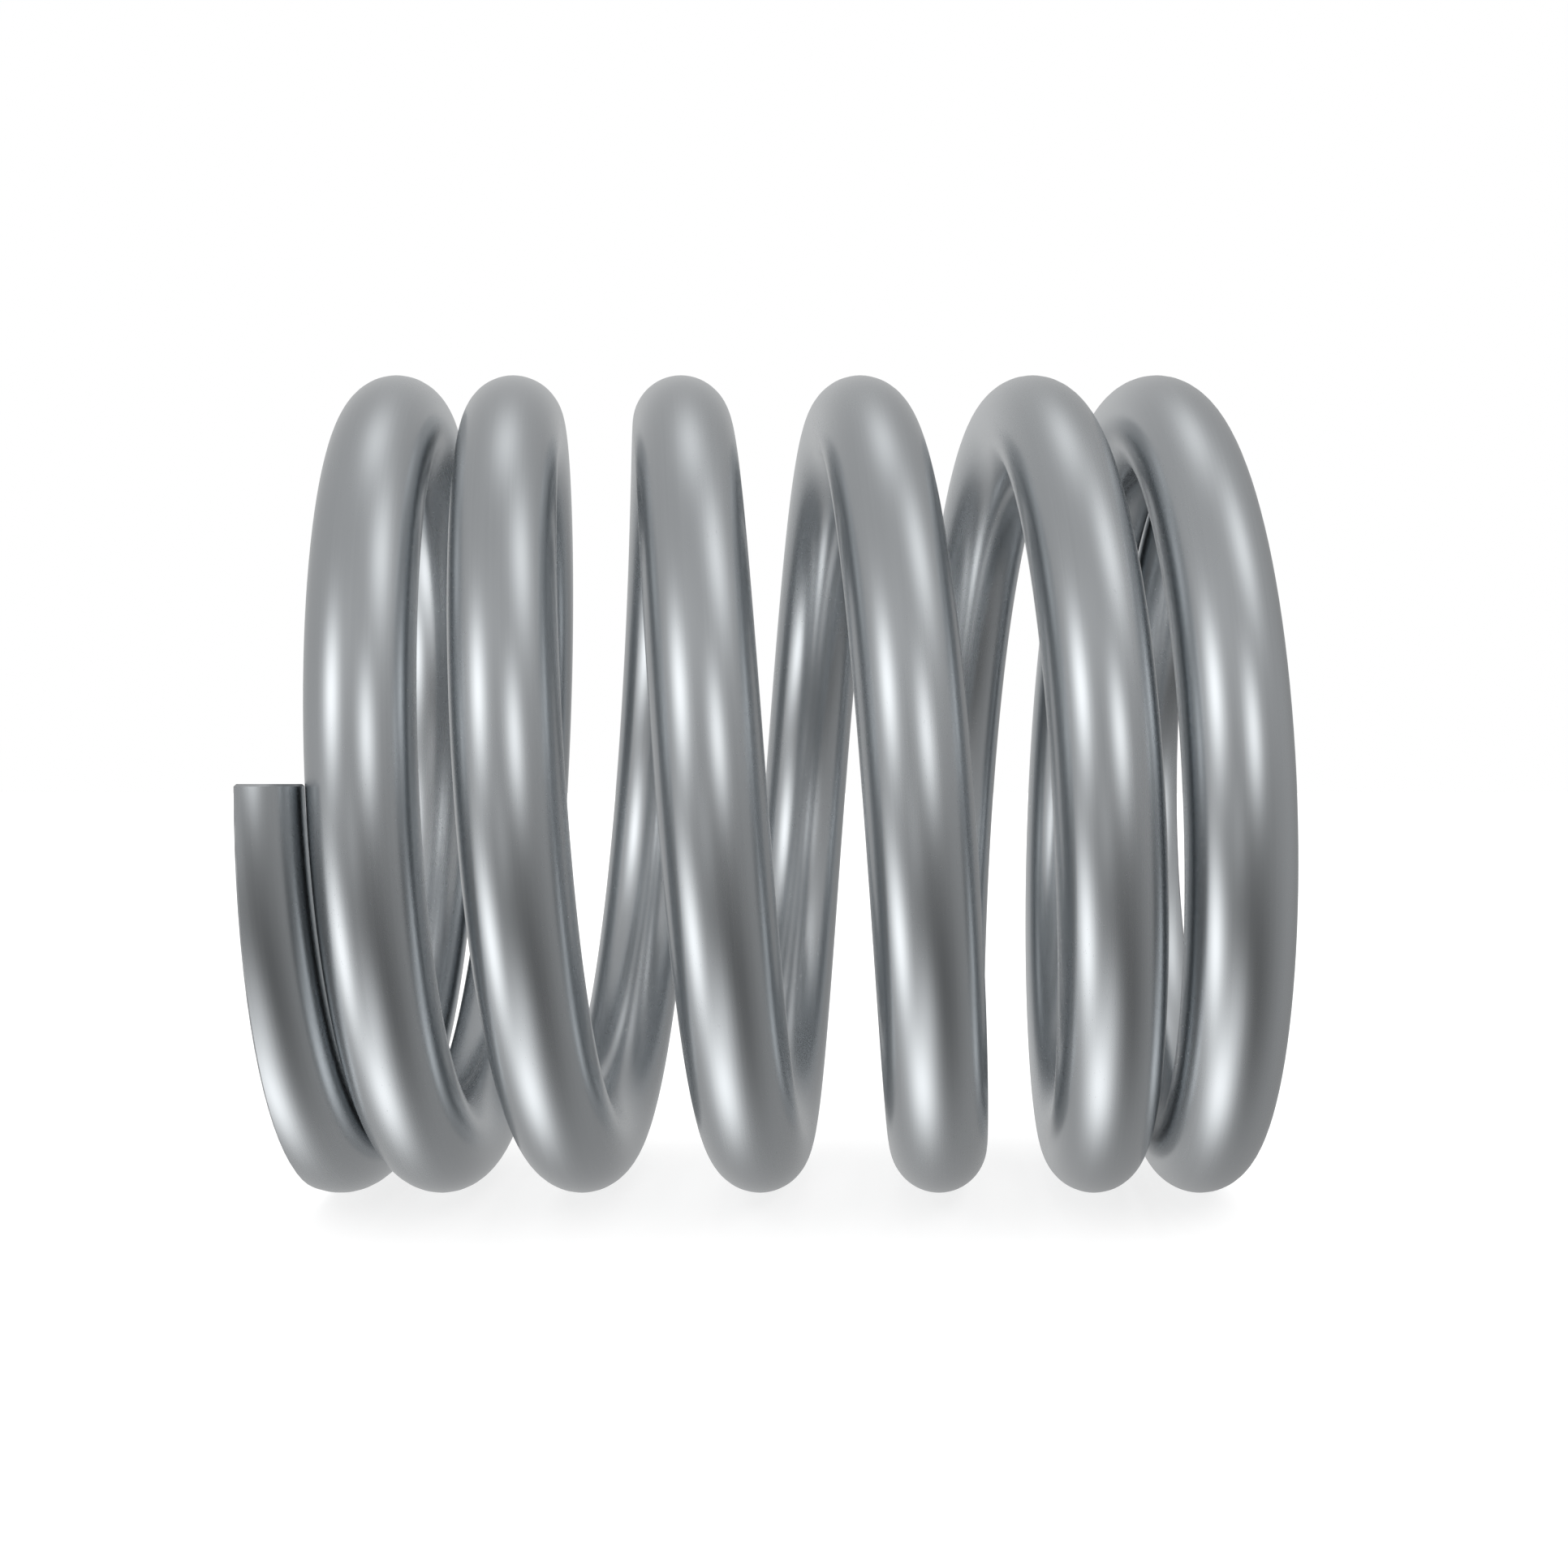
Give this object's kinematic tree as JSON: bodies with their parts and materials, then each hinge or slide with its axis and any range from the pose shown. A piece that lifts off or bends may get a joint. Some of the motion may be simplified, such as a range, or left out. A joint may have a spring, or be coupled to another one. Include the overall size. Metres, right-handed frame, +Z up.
{
  "type": "compression spring",
  "caption": "Right-hand wound round-wire compression spring with closed and ground ends, lying on its side; it squeezes along its axis.",
  "frame": {"origin": "on the surface that the spring lies on, under the middle of its axis", "axes": "+X along the spring's axis, from the left end coil to the right one; +Z up; -Y is the side that shows the left tip"},
  "size_m": [0.0574, 0.0513, 0.0513],
  "materials": {
    "spring_steel": "satin drawn spring-steel wire, bright, with fine lines along the wire"
  },
  "bodies": {
    "end_coil_left": {"end_coil_left": "spring_steel"},
    "half_coil_1": {"half_coil_1": "spring_steel"},
    "half_coil_2": {"half_coil_2": "spring_steel"},
    "half_coil_3": {"half_coil_3": "spring_steel"},
    "half_coil_4": {"half_coil_4": "spring_steel"},
    "half_coil_5": {"half_coil_5": "spring_steel"},
    "half_coil_6": {"half_coil_6": "spring_steel"},
    "half_coil_7": {"half_coil_7": "spring_steel"},
    "half_coil_8": {"half_coil_8": "spring_steel"},
    "end_coil_right": {"end_coil_right": "spring_steel"}
  },
  "joints": [
    {"name": "compression", "type": "slide", "parent": "end_coil_left", "child": "end_coil_right", "axis": [-1, 0, 0], "range_m": [0, 0.0134], "stiffness_N_per_m": 29000},
    {"name": "half_coil_1_slide", "type": "slide", "parent": "end_coil_left", "child": "half_coil_1", "axis": [-1, 0, 0], "range_m": [0, 0.00019]},
    {"name": "half_coil_2_slide", "type": "slide", "parent": "end_coil_left", "child": "half_coil_2", "axis": [-1, 0, 0], "range_m": [0, 0.00123]},
    {"name": "half_coil_3_slide", "type": "slide", "parent": "end_coil_left", "child": "half_coil_3", "axis": [-1, 0, 0], "range_m": [0, 0.00307]},
    {"name": "half_coil_4_slide", "type": "slide", "parent": "end_coil_left", "child": "half_coil_4", "axis": [-1, 0, 0], "range_m": [0, 0.00552]},
    {"name": "half_coil_5_slide", "type": "slide", "parent": "end_coil_left", "child": "half_coil_5", "axis": [-1, 0, 0], "range_m": [0, 0.00792]},
    {"name": "half_coil_6_slide", "type": "slide", "parent": "end_coil_left", "child": "half_coil_6", "axis": [-1, 0, 0], "range_m": [0, 0.01037]},
    {"name": "half_coil_7_slide", "type": "slide", "parent": "end_coil_left", "child": "half_coil_7", "axis": [-1, 0, 0], "range_m": [0, 0.01221]},
    {"name": "half_coil_8_slide", "type": "slide", "parent": "end_coil_left", "child": "half_coil_8", "axis": [-1, 0, 0], "range_m": [0, 0.01325]}
  ],
  "couplings": [
    {"joint": "half_coil_1_slide", "follows": "compression", "ratio": 0.01269},
    {"joint": "half_coil_2_slide", "follows": "compression", "ratio": 0.0903},
    {"joint": "half_coil_3_slide", "follows": "compression", "ratio": 0.22761},
    {"joint": "half_coil_4_slide", "follows": "compression", "ratio": 0.41045},
    {"joint": "half_coil_5_slide", "follows": "compression", "ratio": 0.58955},
    {"joint": "half_coil_6_slide", "follows": "compression", "ratio": 0.77239},
    {"joint": "half_coil_7_slide", "follows": "compression", "ratio": 0.9097},
    {"joint": "half_coil_8_slide", "follows": "compression", "ratio": 0.98731}
  ]
}
